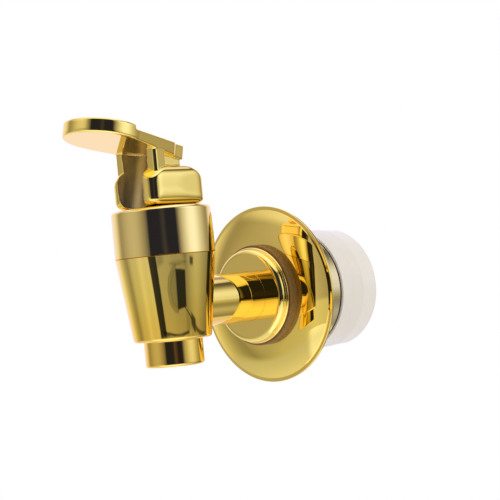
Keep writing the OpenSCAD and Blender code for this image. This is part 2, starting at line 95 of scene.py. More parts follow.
# Axes of the body and of the shank, each a direction and a point
UPRIGHT = ((0, 0, 1), (0, AXIS_Y, 0))
LYING = ((0, 1, 0), (0, 0, 0))

# Turned pieces get this many sides, and a sharp edge where faces meet at over this many degrees
ROUND_STEPS = 224
SHARP_OVER = 28

# Corners nearer than this are one
MERGE = 0.001 * MM

# Sockets of a colour mix
MIX_FACTOR, MIX_A, MIX_B, MIX_COLOUR = 0, 6, 7, 2


class Value:
    """A socket of a shader tree. Arithmetic on it adds Math nodes."""

    def __init__(self, finish, socket):
        self.finish = finish
        self.socket = socket

    def __add__(self, other):
        return self.finish.math("ADD", self, other)

    __radd__ = __add__

    def __sub__(self, other):
        return self.finish.math("SUBTRACT", self, other)

    def __rsub__(self, other):
        return self.finish.math("SUBTRACT", other, self)

    def __mul__(self, other):
        return self.finish.math("MULTIPLY", self, other)

    def __truediv__(self, other):
        return self.finish.math("DIVIDE", self, other)

    def __lt__(self, other):
        return self.finish.math("LESS_THAN", self, other)


class Finish:
    """A shader tree, of a material or of the world, that is written as calls and expressions."""

    def __init__(self, owner):
        owner.use_nodes = True
        self.tree = owner.node_tree
        self.tree.nodes.clear()

    def node(self, kind, settings=(), inputs=(), output=0):
        made = self.tree.nodes.new(kind)
        for name, value in dict(settings).items():
            if name == "stops":
                self._set_stops(made.color_ramp, value)
            else:
                setattr(made, name, value)
        for key, value in dict(inputs).items():
            if isinstance(value, Value):
                self.tree.links.new(value.socket, made.inputs[key])
            else:
                made.inputs[key].default_value = value
        return Value(self, made.outputs[output]) if made.outputs else None

    def math(self, operation, a, b=0.0):
        return self.node("ShaderNodeMath", {"operation": operation}, {0: a, 1: b})

    @staticmethod
    def _set_stops(ramp, stops):
        while len(ramp.elements) < len(stops):
            ramp.elements.new(1.0)
        for element, (place, colour) in zip(ramp.elements, stops):
            element.position = place
            element.color = colour

    def place(self):
        """Object coordinates, in metres."""
        return self.node("ShaderNodeTexCoord", output="Object")

    def split(self, vector):
        """X, Y and Z of a vector."""
        made = self.tree.nodes.new("ShaderNodeSeparateXYZ")
        self.tree.links.new(vector.socket, made.inputs[0])
        return [Value(self, made.outputs[i]) for i in range(3)]

    def noise(self, scale, detail=2.0):
        inputs = {"Vector": self.place(), "Scale": scale, "Detail": detail, "Roughness": 0.5}
        return self.node("ShaderNodeTexNoise", {}, inputs)

    def remap(self, value, low, high, to_low, to_high):
        return self.node(
            "ShaderNodeMapRange", {}, {"Value": value, 1: low, 2: high, 3: to_low, 4: to_high}
        )

    def blend(self, factor, a, b):
        """A colour from a, where factor is 0, to b, where it is 1."""
        sockets = {MIX_FACTOR: factor, MIX_A: a, MIX_B: b}
        return self.node("ShaderNodeMix", {"data_type": "RGBA"}, sockets, output=MIX_COLOUR)

    def clouded(self, noise, a, b):
        """Two colours that a noise drifts between."""
        return self.blend(self.remap(noise, 0.3, 0.7, 0.0, 1.0), a, b)

    def bump(self, height, strength, distance):
        return self.node("ShaderNodeBump", {}, {"Height": height, "Strength": strength, "Distance": distance})

    def surface(self, inputs):
        shader = self.node("ShaderNodeBsdfPrincipled", {}, inputs)
        self.node("ShaderNodeOutputMaterial", {}, {"Surface": shader})


def material(name):
    made = bpy.data.materials.new(name)
    return made, Finish(made)


# GOLD_PALE and GOLD_DEEP are painted tints of reflected light, laid on the body's top and bottom
GOLD_PALE = (0.95, 0.745, 0.27, 1.0)
GOLD = (0.95, 0.725, 0.19, 1.0)
GOLD_DEEP = (0.95, 0.65, 0.13, 1.0)


def gold_plating(name, painted_tint_by_height):
    """Bright gold plating on moulded plastic: a mirror with a faint swell and a trace of haze. Where asked,
    its gold turns paler towards the top and deeper towards the spout, as a painted tint of the light
    reflected there.
    """
    made, finish = material(name)
    swell = finish.noise(70.0)
    haze = finish.noise(400.0)
    height = finish.split(finish.place())[2]
    upper = finish.remap(height, 4 * MM, 19 * MM, 0.0, 1.0)
    lower = finish.remap(height, 4 * MM, -6 * MM, 0.0, 1.0)
    # Paler gold up the bonnet and deeper gold down the spout: painted reflection tint by height
    gold = finish.blend(lower, finish.blend(upper, GOLD, GOLD_PALE), GOLD_DEEP) if painted_tint_by_height else GOLD
    finish.surface({
        "Base Color": gold,
        "Metallic": 1.0,
        "Roughness": finish.remap(haze, 0.3, 0.75, 0.008, 0.02),
        "Specular Tint": (1.0, 0.93, 0.86, 1.0),
        "Normal": finish.bump(swell, 0.3, 0.05 * MM),
    })
    return made


def pale_plating():
    """Thin, almost silvery plating behind the dome, with a painted dark shadow line at the barrel's back
    edge, where the front gasket meets it.
    """
    made, finish = material("pale_plating")
    haze = finish.noise(400.0)
    depth = finish.split(finish.place())[1]
    # Thin dark band at the barrel's back edge: painted shadow of the gap against the front gasket
    edge = finish.remap(depth, FRONT_GASKET_LOW.y - 0.9 * MM, FRONT_GASKET_LOW.y - 0.7 * MM, 0.0, 1.0)
    finish.surface({
        "Base Color": finish.blend(edge, (0.91, 0.77, 0.42, 1.0), (0.03, 0.03, 0.025, 1.0)),
        "Metallic": 1.0,
        "Roughness": finish.remap(haze, 0.3, 0.75, 0.11, 0.16),
    })
    return made


def shaded_satin_trough():
    """The same plating where the mould was left matt, down the lever's trough; its gold is darkened to
    olive-brown as painted shade of the recess.
    """
    made, finish = material("satin_plating_painted_shade")
    grain = finish.noise(1600.0, detail=4.0)
    cloud = finish.noise(160.0)
    finish.surface({
        # Dark olive-brown gold: painted shade inside the trough; the noise between the two tones is random
        "Base Color": finish.clouded(cloud, (0.58, 0.445, 0.21, 1.0), (0.46, 0.35, 0.155, 1.0)),
        "Metallic": 1.0,
        "Roughness": finish.remap(grain, 0.3, 0.7, 0.3, 0.42),
        "Normal": finish.bump(grain, 0.3, 0.05 * MM),
    })
    return made


def bronze_ring():
    """Satin gold of the ring behind the collar, darkened to brown as painted shade of the groove between
    collar and dome.
    """
    made, finish = material("bronze_ring")
    grain = finish.noise(900.0, detail=3.0)
    finish.surface({
        # Dark brown: painted shade of the groove between the collar and the dome
        "Base Color": finish.clouded(grain, (0.26, 0.14, 0.035, 1.0), (0.22, 0.115, 0.03, 1.0)),
        "Metallic": 0.35,
        "Roughness": finish.remap(grain, 0.3, 0.7, 0.36, 0.5),
        "Normal": finish.bump(grain, 0.15, 0.03 * MM),
    })
    return made


def translucent(name, tint, roughness, swirl_scale):
    """Milky silicone or frosted plastic; a faint glow stands for the light that soaks through."""
    made, finish = material(name)
    swirl = finish.noise(swirl_scale)
    grain = finish.noise(1400.0, detail=3.0)
    pale = tuple(min(1.0, c * 1.07) for c in tint[:3]) + (1.0,)
    finish.surface({
        "Base Color": finish.blend(finish.remap(swirl, 0.35, 0.65, 0.0, 1.0), tint, pale),
        "Roughness": finish.remap(grain, 0.3, 0.7, roughness - 0.04, roughness + 0.04),
        "IOR": 1.38,
        "Emission Color": tint,
        "Emission Strength": 0.08,
        "Normal": finish.bump(grain, 0.03, 0.01 * MM),
    })
    return made


def turned_steel():
    """Stainless steel with the faint rings that turning leaves."""
    made, finish = material("turned_steel")
    streak = finish.noise(500.0, detail=4.0)
    finish.surface({
        "Base Color": finish.clouded(streak, (0.60, 0.60, 0.61, 1.0), (0.68, 0.68, 0.68, 1.0)),
        "Metallic": 1.0,
        "Roughness": finish.remap(streak, 0.3, 0.7, 0.2, 0.34),
        "Normal": finish.bump(streak, 0.1, 0.02 * MM),
    })
    return made


def moulded(name, colour, roughness):
    """Plain moulded rubber or nylon."""
    made, finish = material(name)
    grain = finish.noise(1500.0, detail=3.0)
    dark = tuple(c * 0.85 for c in colour[:3]) + (1.0,)
    finish.surface({
        "Base Color": finish.clouded(grain, colour, dark),
        "Roughness": finish.remap(grain, 0.3, 0.7, roughness - 0.05, roughness + 0.05),
        "Normal": finish.bump(grain, 0.2, 0.04 * MM),
    })
    return made


BODY_PLATING = gold_plating("gold_plating_body", True)
PLATING = gold_plating("gold_plating", False)
SATIN_SHADED = shaded_satin_trough()
RING_SHADE = bronze_ring()
PALE = pale_plating()
SILICONE = translucent("milky_silicone", (0.73, 0.68, 0.605, 1.0), 0.42, 60.0)
FROSTED = translucent("frosted_nut", (0.765, 0.71, 0.645, 1.0), 0.38, 45.0)
STEEL = turned_steel()
NYLON = moulded("natural_nylon", (0.84, 0.82, 0.75, 1.0), 0.42)
RUBBER = moulded("black_rubber", (0.03, 0.03, 0.032, 1.0), 0.5)


def placed(name, data):
    """A new object in the scene."""
    made = bpy.data.objects.new(name, data)
    bpy.context.scene.collection.objects.link(made)
    return made


def discard(piece):
    """Removes an object with its mesh."""
    mesh = piece.data
    bpy.data.objects.remove(piece)
    bpy.data.meshes.remove(mesh)


def finished(bm, name, body, coat, replaced=(), sharp_over=None):
    """Makes the mesh an object that rides on a body, has a finish and stands for the named solids."""
    mesh = bpy.data.meshes.new(name)
    bm.to_mesh(mesh)
    bm.free()
    for polygon in mesh.polygons:
        polygon.use_smooth = True
    if sharp_over is not None:
        mesh.set_sharp_from_angle(angle=math.radians(sharp_over))
    mesh.materials.append(coat)
    piece = placed(name, mesh)
    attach(piece, body)
    if replaced:
        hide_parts(*replaced)
    return piece


def close_up(bm):
    """Merges corners that coincide and turns the faces outwards."""
    bmesh.ops.remove_doubles(bm, verts=bm.verts, dist=MERGE)
    bmesh.ops.recalc_face_normals(bm, faces=bm.faces)


def with_guards(corners, capped):
    """Adds a corner just outside each rounding, so that its shading stays off the long faces."""
    least_room = 0.3 * MM
    beyond = 0.05 * MM
    made = []
    count = len(corners)
    for i, (r, h, rounding) in enumerate(corners):
        here = Vector((r, h))
        sides = []
        for j in (i - 1, (i + 1) % count):
            at_end = capped and ((i == 0 and j < 0) or (i == count - 1 and j == 0))
            way = Vector(corners[j][:2]) - here
            room = way.length - corners[j][2] - rounding
            if rounding and room > least_room and not at_end:
                sides.append(here + way.normalized() * (rounding + beyond))
            else:
                sides.append(None)
        before, after = sides
        if before is not None:
            made.append((before.x, before.y, 0.0))
        made.append((r, h, rounding))
        if after is not None:
            made.append((after.x, after.y, 0.0))
    return made


def add_turned(bm, corners, axis, centre, bevel_steps=6):
    """Turns a closed profile round an axis. A corner is (radius, height, rounding)."""
    along = Vector(axis)
    out = Vector((1, 0, 0))
    wire = bmesh.new()
    capped = corners[0][0] == 0 and corners[-1][0] == 0
    corners = with_guards(corners, capped)
    verts = [wire.verts.new(Vector(centre) + out * r + along * h) for r, h, _ in corners]
    for a, b in zip(verts, verts[1:] if capped else verts[1:] + verts[:1]):
        wire.edges.new((a, b))
    for vert, (_, _, rounding) in zip(verts, corners):
        if rounding:
            bmesh.ops.bevel(
                wire, geom=[vert], offset=rounding, offset_type="OFFSET", affect="VERTICES",
                segments=bevel_steps, profile=0.5, material=-1,
            )
    bmesh.ops.spin(
        wire, geom=wire.verts[:] + wire.edges[:], axis=along, cent=centre, dvec=(0, 0, 0),
        angle=TURN, steps=ROUND_STEPS, use_merge=True,
    )
    close_up(wire)
    join(bm, wire)


def join(bm, other):
    """Adds another bmesh to bm, and frees it."""
    mesh = bpy.data.meshes.new("part_of_a_piece")
    other.to_mesh(mesh)
    other.free()
    bm.from_mesh(mesh)
    bpy.data.meshes.remove(mesh)


def turned(name, corners, body, coat, replaced, axis=LYING):
    bm = bmesh.new()
    add_turned(bm, corners, *axis)
    return finished(bm, name, body, coat, replaced, SHARP_OVER)


def make_body():
    """Tapered body with its spout and bores, and the shank that carries it."""
    groove_r = SHANK_R - 0.9 * MM
    groove_y = BODY_HIGH.y - 2.2 * MM
    bm = bmesh.new()
    add_turned(bm, [
        (SPOUT_R, SPOUT_FOOT_Z, 0.9 * MM),
        (SPOUT_R, CONE_FOOT_Z, 0.15 * MM),
        (CONE_FOOT_R, CONE_FOOT_Z, 1.0 * MM),
        (BODY_R, SEAM_Z - SEAM_GAP, 0.0),
        (BODY_R - 2 * SEAM_GAP, SEAM_Z, 0.0),
        (CHAMBER_R, SEAM_Z, 0.0),
        (CHAMBER_R, SEAT_Z, 0.0),
        (SEAT_BORE_R, SEAT_Z, 0.2 * MM),
        (SEAT_BORE_R, SPOUT_FOOT_Z + OUTLET_DEPTH, 0.0),
        (OUTLET_R, SPOUT_FOOT_Z + OUTLET_DEPTH, 0.0),
        (OUTLET_R, SPOUT_FOOT_Z, 0.35 * MM),
    ], *UPRIGHT)
    add_turned(bm, [
        (INLET_R, AXIS_Y + CHAMBER_R, 0.0),
        (SHANK_R, AXIS_Y + CHAMBER_R, 0.0),
        (SHANK_R, groove_y, 0.1 * MM),
        (groove_r, groove_y, 0.0),
        (groove_r, CLIP_LOW.y, 0.0),
        (SHANK_R, CLIP_LOW.y, 0.0),
        (SHANK_R, BODY_HIGH.y, 0.4 * MM),
        (INLET_R, BODY_HIGH.y, 0.3 * MM),
    ], *LYING)
    return finished(bm, "body_and_shank", "tap", BODY_PLATING, ["tap_body"], SHARP_OVER)


def make_bonnet():
    """Upper part of the body, with the guide's hole in its top and a spigot below the seam."""
    guide_r = 5.0 * MM
    guide_z = BONNET_TOP - 3.5 * MM
    bore_r = 11.1 * MM
    spigot_r = bore_r + 1.45 * MM
    return turned("bonnet_cap", [
        (BODY_R - 2 * SEAM_GAP, SEAM_Z, 0.0),
        (BODY_R, SEAM_Z + SEAM_GAP, 0.0),
        (BODY_R, BONNET_TOP, 1.3 * MM),
        (guide_r, BONNET_TOP, 0.2 * MM),
        (guide_r, guide_z, 0.0),
        (bore_r, guide_z, 0.0),
        (bore_r, BONNET_LOW.z, 0.0),
        (spigot_r, BONNET_LOW.z, 0.3 * MM),
        (spigot_r, SEAM_Z, 0.0),
    ], "tap", BODY_PLATING, ["bonnet"], axis=UPRIGHT)


def make_collar():
    edge = COLLAR_HIGH.x
    neck = edge - 0.55 * MM
    return turned("shank_collar", [
        (SHANK_R, COLLAR_LOW.y, 0.1 * MM),
        (neck, COLLAR_LOW.y, 1.7 * MM),
        (neck, COLLAR_HIGH.y - 1.15 * MM, 0.1 * MM),
        (edge, COLLAR_HIGH.y - 1.1 * MM, 0.5 * MM),
        (edge, COLLAR_HIGH.y, 0.5 * MM),
        (SHANK_R, COLLAR_HIGH.y, 0.0),
    ], "tap", PLATING, ["collar"])


def make_collar_ring():
    return turned("brown_ring", [
        (SHANK_R, RING_LOW.y, 0.0),
        (RING_HIGH.x, RING_LOW.y, 0.3 * MM),
        (RING_HIGH.x, RING_HIGH.y, 0.1 * MM),
        (SHANK_R, RING_HIGH.y, 0.0),
    ], "tap", RING_SHADE, ["collar_ring"])


def make_flange():
    """Dome with a thin bright lip, the barrel behind it and the threaded tail."""
    rim_r = FLANGE_HIGH.x
    crown_r = RING_HIGH.x + 0.4 * MM
    crown_y = RING_HIGH.y
    rim_t = 0.9 * MM
    slopes = 14
    flare = 1.8
    dome = []
    for i in range(1, slopes):
        t = i / slopes
        y = crown_y + (-rim_t - crown_y) * t ** flare
        dome.append((crown_r + (rim_r - rim_t / 2 - crown_r) * t, y, 0.0))
    barrel_r = 20.0 * MM
    socket_r = barrel_r + 1.0 * MM
    root_r = TAIL_R - 0.95 * MM
    barrel_y = FRONT_GASKET_LOW.y
    bm = bmesh.new()
    add_turned(bm, [(SHANK_R, crown_y, 0.0), (crown_r, crown_y, 0.15 * MM)] + dome + [
        (rim_r - 1.6 * MM, -rim_t - 0.1 * MM, 0.0),
        (rim_r - 1.3 * MM, -rim_t + 0.12 * MM, 0.0),
        (rim_r, -rim_t + 0.05 * MM, 0.16 * MM),
        (rim_r, 0.0, 0.12 * MM),
        (rim_r - 3.5 * MM, 0.0, 0.1 * MM),
        (rim_r - 5.0 * MM, -0.6 * MM, 0.0),
        (socket_r, -1.5 * MM, 0.0),
        (socket_r, 0.0, 0.0),
        (barrel_r, 0.0, 0.0),
        (barrel_r, barrel_y, 0.25 * MM),
        (root_r, barrel_y, 0.0),
        (root_r, FLANGE_HIGH.y, 0.3 * MM),
        (SHANK_R, FLANGE_HIGH.y, 0.2 * MM),
    ], *LYING)
    add_thread(bm, root_r, TAIL_R - 0.02 * MM, barrel_y + 0.6 * MM, FLANGE_HIGH.y - 1.2 * MM, 2.0 * MM)
    # The barrel, the back and the recess have the second finish
    recess_r = 26.4 * MM
    recess_y = -1.6 * MM
    for face in bm.faces:
        x, y, z = face.calc_center_median()
        r = math.hypot(x, z)
        on_back = y > -0.3 * MM and r < rim_r - 0.2 * MM
        in_recess = y > recess_y and r < recess_r
        if r > barrel_r - 0.3 * MM and (on_back or in_recess):
            face.material_index = 1
    piece = finished(bm, "domed_flange", "tap", PLATING, ["flange"], SHARP_OVER)
    piece.data.materials.append(PALE)
    return piece


def add_thread(bm, root_r, crest_r, y0, y1, pitch):
    """A ridge wound round the tail: one tooth profile, in shares of the pitch, swept up a helix."""
    steps = 72
    turns = int((y1 - y0) / pitch) - 1
    tooth = bmesh.new()
    sunk = root_r - 0.1 * MM
    profile = [(sunk, 0.08), (crest_r, 0.40), (crest_r, 0.56), (sunk, 0.92)]
    verts = [tooth.verts.new((r, y0 + share * pitch, 0)) for r, share in profile]
    face = tooth.faces.new(verts)
    bmesh.ops.spin(
        tooth, geom=[face] + list(face.edges) + verts, axis=(0, 1, 0), cent=(0, 0, 0),
        dvec=(0, pitch / steps, 0), angle=TURN * turns, steps=steps * turns, use_duplicate=False,
    )
    close_up(tooth)
    join(bm, tooth)


def make_gasket(node, body, low, high):
    return turned(node + "_soft", [
        (TAIL_HOLE_R, low.y, 0.2 * MM),
        (high.x, low.y, 0.08 * MM),
        (high.x, high.y, 0.08 * MM),
        (TAIL_HOLE_R, high.y, 0.2 * MM),
    ], body, SILICONE, [node])


def make_nut():
    """Lock nut with a rounded back edge and two shallow grip flats."""
    flat_z = NUT_HIGH.z - 0.7 * MM
    flat_y = NUT_LOW.y + 2.7 * MM
    back_r = NUT_HIGH.x - 0.12 * MM
    bm = bmesh.new()
    add_turned(bm, [
        (TAIL_HOLE_R, NUT_LOW.y, 0.5 * MM),
        (NUT_HIGH.x, NUT_LOW.y, 0.05 * MM),
        (NUT_HIGH.x, NUT_LOW.y + 6.1 * MM, 0.1 * MM),
        (back_r, NUT_LOW.y + 6.25 * MM, 0.1 * MM),
        (back_r, NUT_HIGH.y, 1.7 * MM),
        (TAIL_HOLE_R, NUT_HIGH.y, 0.5 * MM),
    ], *LYING)
    for vert in bm.verts:
        if vert.co.y > flat_y and abs(vert.co.z) > flat_z:
            vert.co.z = math.copysign(flat_z, vert.co.z)
    return finished(bm, "lock_nut_frosted", "nut", FROSTED, ["lock_nut"], SHARP_OVER)


def outline_slab(corners, to_space, depth):
    """A flat outline with its own rounding at each corner, pushed out to a solid slab.

    corners are (u, v, rounding); to_space places (u, v) and the slab's depth.
    """
    bm = bmesh.new()
    verts = [bm.verts.new((u, v, 0)) for u, v, _ in corners]
    bm.faces.new(verts)
    for vert, (_, _, rounding) in zip(verts, corners):
        if rounding:
            bmesh.ops.bevel(
                bm, geom=[vert], offset=rounding, offset_type="OFFSET", affect="VERTICES",
                segments=16, profile=0.5, material=-1,
            )
    grown = bmesh.ops.extrude_face_region(bm, geom=bm.faces[:])
    lifted = [v for v in grown["geom"] if isinstance(v, bmesh.types.BMVert)]
    bmesh.ops.translate(bm, verts=lifted, vec=(0, 0, depth))
    bmesh.ops.transform(bm, matrix=to_space, verts=bm.verts)
    close_up(bm)
    return bm


def both_sides(half):
    """An outline from its right half."""
    return half + [(-u, v, rounding) for u, v, rounding in reversed(half)]


# Booleans work on millimetres, which are large enough for their tolerances
ENLARGED = 1000.0


def scratch_object(bm, name):
    """An enlarged shape to work on."""
    bmesh.ops.scale(bm, vec=(ENLARGED,) * 3, verts=bm.verts)
    mesh = bpy.data.meshes.new(name)
    bm.to_mesh(mesh)
    bm.free()
    return placed(name, mesh)


def combine(base, operation, tools):
    """Applies Boolean modifiers of one operation to base and removes the tools."""
    for tool in tools:
        modifier = base.modifiers.new("shape", "BOOLEAN")
        modifier.operation = operation
        modifier.solver = "EXACT"
        modifier.object = tool
        apply_modifiers(base)
        discard(tool)
    return base


def apply_modifiers(piece):
    """Replaces an object's mesh by its mesh with the modifiers applied."""
    graph = bpy.context.evaluated_depsgraph_get()
    graph.update()
    solid = bpy.data.meshes.new_from_object(piece.evaluated_get(graph))
    old = piece.data
    piece.modifiers.clear()
    piece.data = solid
    bpy.data.meshes.remove(old)


def axes_matrix(u, v, w, origin):
    """Turns u, v and w into the frame's axes, from an origin."""
    made = Matrix((Vector(u), Vector(v), Vector(w))).transposed().to_4x4()
    made.translation = Vector(origin)
    return made


# Lever, laid out from the hinge pin
FOOT_HALF_W = 10.5 * MM
FOOT_Y0 = AXIS_Y - 11.9 * MM
FOOT_Y1 = AXIS_Y + 12.1 * MM
FOOT_Z0 = BONNET_TOP + 0.3 * MM
FOOT_Z1 = FOOT_Z0 + 12.7 * MM
NECK_Y0 = AXIS_Y - 9.0 * MM
NECK_Y1 = NECK_Y0 + 5.0 * MM
RIB_Y1 = AXIS_Y + 5.9 * MM
TROUGH_R = 6.0 * MM
TROUGH_LEAN = math.radians(15)
TROUGH_START = Vector((0, FOOT_Y0 - 0.9 * MM, PIN_Z))
PAD_R = 12.7 * MM
PAD_T = 4.7 * MM
ARM_T = 3.2 * MM
ARM_END_T = 4.6 * MM
ARM_ROOT_Y = 2.8 * MM
PAD_TILT = math.radians(12.8)
PAD_CENTRE = Vector((0, AXIS_Y - 21.4 * MM, BONNET_TOP + 21.4 * MM))
PAD_PLANE = Matrix.Translation(PAD_CENTRE) @ Matrix.Rotation(-PAD_TILT, 4, "X")


def lever_foot():
    """Foot block: three rounded outlines and a turned cushion, crossed."""
    w = FOOT_HALF_W
    side = outline_slab([
        (FOOT_Y0, FOOT_Z0, 3.2 * MM), (FOOT_Y1, FOOT_Z0, 2.2 * MM),
        (FOOT_Y1, FOOT_Z1, 5.8 * MM), (FOOT_Y0, FOOT_Z1, 3.8 * MM),
    ], axes_matrix((0, 1, 0), (0, 0, 1), (1, 0, 0), (-w, 0, 0)), 2 * w)
    corner = 3.9 * MM
    middle_y = (FOOT_Y0 + FOOT_Y1) / 2 - 2 * MM
    right = [(w - 0.1 * MM, FOOT_Y0, corner), (w, middle_y, 4 * MM), (w - 0.45 * MM, FOOT_Y1, corner)]
    up = axes_matrix((1, 0, 0), (0, 1, 0), (0, 0, 1), (0, 0, FOOT_Z0 - MM))
    plan = outline_slab(both_sides(right), up, 16 * MM)
    middle_z = (FOOT_Z0 + FOOT_Z1) / 2
    right = [(w - 0.25 * MM, FOOT_Z0, 2.8 * MM), (w, middle_z, 2.8 * MM), (w - 0.25 * MM, FOOT_Z1, 3.3 * MM)]
    forward = axes_matrix((1, 0, 0), (0, 0, 1), (0, -1, 0), (0, FOOT_Y1 + MM, 0))
    front = outline_slab(both_sides(right), forward, 30 * MM)
    cushion = bmesh.new()
    edge = 14.7 * MM
    add_turned(cushion, [
        (0.0, FOOT_Z0, 0.0), (edge, FOOT_Z0, 3.3 * MM), (edge, FOOT_Z1, 6.8 * MM), (0.0, FOOT_Z1, 0.0),
    ], (0, 0, 1), (0, (FOOT_Y0 + FOOT_Y1) / 2, 0), bevel_steps=16)
    foot = scratch_object(side, "foot")
    tools = [scratch_object(bm, "outline") for bm in (plan, front, cushion)]
    combine(foot, "INTERSECT", tools)
    return fused(foot, 0.3, 40)


def fused(piece, voxel, softening):
    """Turns an enlarged piece into one even skin and softens its edges."""
    fuse = piece.modifiers.new("fuse", "REMESH")
    fuse.mode = "VOXEL"
    fuse.voxel_size = voxel
    soften = piece.modifiers.new("soften", "SMOOTH")
    soften.factor = 0.5
    soften.iterations = softening
    apply_modifiers(piece)
    return piece


def lever_neck():
    """Neck between foot and arm, wide in front with a rib behind, cut off inside the arm."""
    w = 9.5 * MM
    rib = 5.0 * MM
    half = [
        (w - 0.7 * MM, NECK_Y0, 0.0), (w, NECK_Y0 + 0.9 * MM, 0.0), (w - 0.7 * MM, NECK_Y1, 0.3 * MM),
        (rib + 0.5 * MM, NECK_Y1 + 0.8 * MM, 0.3 * MM), (rib, RIB_Y1, 0.4 * MM),
    ]
    up = axes_matrix((1, 0, 0), (0, 1, 0), (0, 0, 1), (0, 0, FOOT_Z1 - 4 * MM))
    bm = outline_slab(both_sides(half), up, 24 * MM)
    middle = PAD_PLANE @ Vector((0, 0, 0.25 * MM))
    normal = PAD_PLANE.to_3x3() @ Vector((0, 0, 1))
    cut = bmesh.ops.bisect_plane(
        bm, geom=bm.verts[:] + bm.edges[:] + bm.faces[:], plane_co=middle, plane_no=normal, clear_outer=True
    )
    edges = [e for e in cut["geom_cut"] if isinstance(e, bmesh.types.BMEdge)]
    bmesh.ops.edgenet_fill(bm, edges=edges)
    close_up(bm)
    return scratch_object(bm, "neck")


def rod(radius, length, sides, to_place):
    """A round rod along its own Z, then placed."""
    bm = bmesh.new()
    bmesh.ops.create_cone(bm, cap_ends=True, segments=sides, radius1=radius, radius2=radius, depth=length)
    bmesh.ops.transform(bm, matrix=to_place, verts=bm.verts)
    return bm


def lever_cutters():
    """The trough down the front, the room for the stem's eye and the blind bore of the hinge pin."""
    lean = Matrix.Translation(TROUGH_START) @ Matrix.Rotation(-TROUGH_LEAN, 4, "X")
    trough = rod(TROUGH_R, 60 * MM, 192, lean)

    slot_w = 3.2 * MM
    to_side = axes_matrix((0, 1, 0), (0, 0, 1), (1, 0, 0), (-slot_w, AXIS_Y, PIN_Z))
    slot = outline_slab([
        (-3.5 * MM, 0, 0), (-5.6 * MM, -7.6 * MM, 0), (4.2 * MM, -7.6 * MM, 0), (3.5 * MM, 0, 0),
    ], to_side, 2 * slot_w)
    crosswise = Matrix.Rotation(TURN / 4, 4, "Y")
    eye = rod(4 * MM, 2 * slot_w, 96, Matrix.Translation((0, AXIS_Y, PIN_Z)) @ crosswise)

    x0 = -FOOT_HALF_W - MM
    x1 = PIN_HIGH.x + 0.3 * MM
    bore = rod(1.8 * MM, x1 - x0, 96, Matrix.Translation(((x0 + x1) / 2, AXIS_Y, PIN_Z)) @ crosswise)
    return [scratch_object(b, "cutter") for b in (trough, slot, eye, bore)]


def lever_top():
    """Round press pad and the tapered arm with the tab at its end."""
    pad = bmesh.new()
    add_turned(pad, [
        (0.0, 0.0, 0.0), (PAD_R, 0.0, 0.7 * MM), (PAD_R, PAD_T, 0.7 * MM), (0.0, PAD_T, 0.0),
    ], (0, 0, 1), (0, 0, 0))
    root = 12.3 * MM
    shoulder = 7.2 * MM
    tab = 5.4 * MM
    end_y = 29.6 * MM
    half = [
        (shoulder, 23.6 * MM, 0.5 * MM),
        (tab + 0.4 * MM, 24.9 * MM, 0.4 * MM),
        (tab - 0.5 * MM, end_y, 0.9 * MM),
    ]
    outline = [(-root, ARM_ROOT_Y, 0.0), (root, ARM_ROOT_Y, 0.0)] + both_sides(half)
    arm = outline_slab(outline, Matrix.Identity(4), ARM_T)
    for vert in arm.verts:
        if vert.co.z > ARM_T / 2:
            vert.co.z += (ARM_END_T - ARM_T) * (vert.co.y - ARM_ROOT_Y) / (end_y - ARM_ROOT_Y)
    step = bmesh.new()
    bmesh.ops.create_cube(step, size=1.0)
    bmesh.ops.scale(step, vec=(4 * PAD_R, 2 * PAD_R, PAD_T), verts=step.verts)
    bmesh.ops.translate(step, vec=(0, ARM_ROOT_Y + PAD_R, ARM_T + PAD_T / 2), verts=step.verts)
    for bm in (pad, arm, step):
        bmesh.ops.transform(bm, matrix=PAD_PLANE, verts=bm.verts)
    stepped = combine(scratch_object(pad, "pad"), "DIFFERENCE", [scratch_object(step, "step")])
    return [stepped, scratch_object(arm, "arm")]


def make_lever():
    """Lever casting: its shapes are joined, cut, then fused to one skin with softened edges."""
    casting = combine(lever_foot(), "UNION", [lever_neck()])
    combine(casting, "DIFFERENCE", lever_cutters())
    combine(casting, "UNION", lever_top())
    fused(casting, 0.24, 5)
    bm = bmesh.new()
    bm.from_mesh(casting.data)
    bmesh.ops.scale(bm, vec=(1 / ENLARGED,) * 3, verts=bm.verts)
    discard(casting)
    bmesh.ops.recalc_face_normals(bm, faces=bm.faces)
    mark_trough(bm)
    piece = finished(bm, "press_lever_casting", "press_lever", PLATING, ["lever"])
    piece.data.materials.append(SATIN_SHADED)
    return piece


def mark_trough(bm):
    """Gives the trough's faces the second finish."""
    lean = Matrix.Rotation(-TROUGH_LEAN, 3, "X") @ Vector((0, 0, 1))
    for face in bm.faces:
        off = face.calc_center_median() - TROUGH_START
        radial = off - lean * off.dot(lean)
        inward = face.normal.dot(radial.normalized()) < -0.6
        near = abs(radial.length - TROUGH_R) < 0.35 * MM
        if inward and near:
            face.material_index = 1


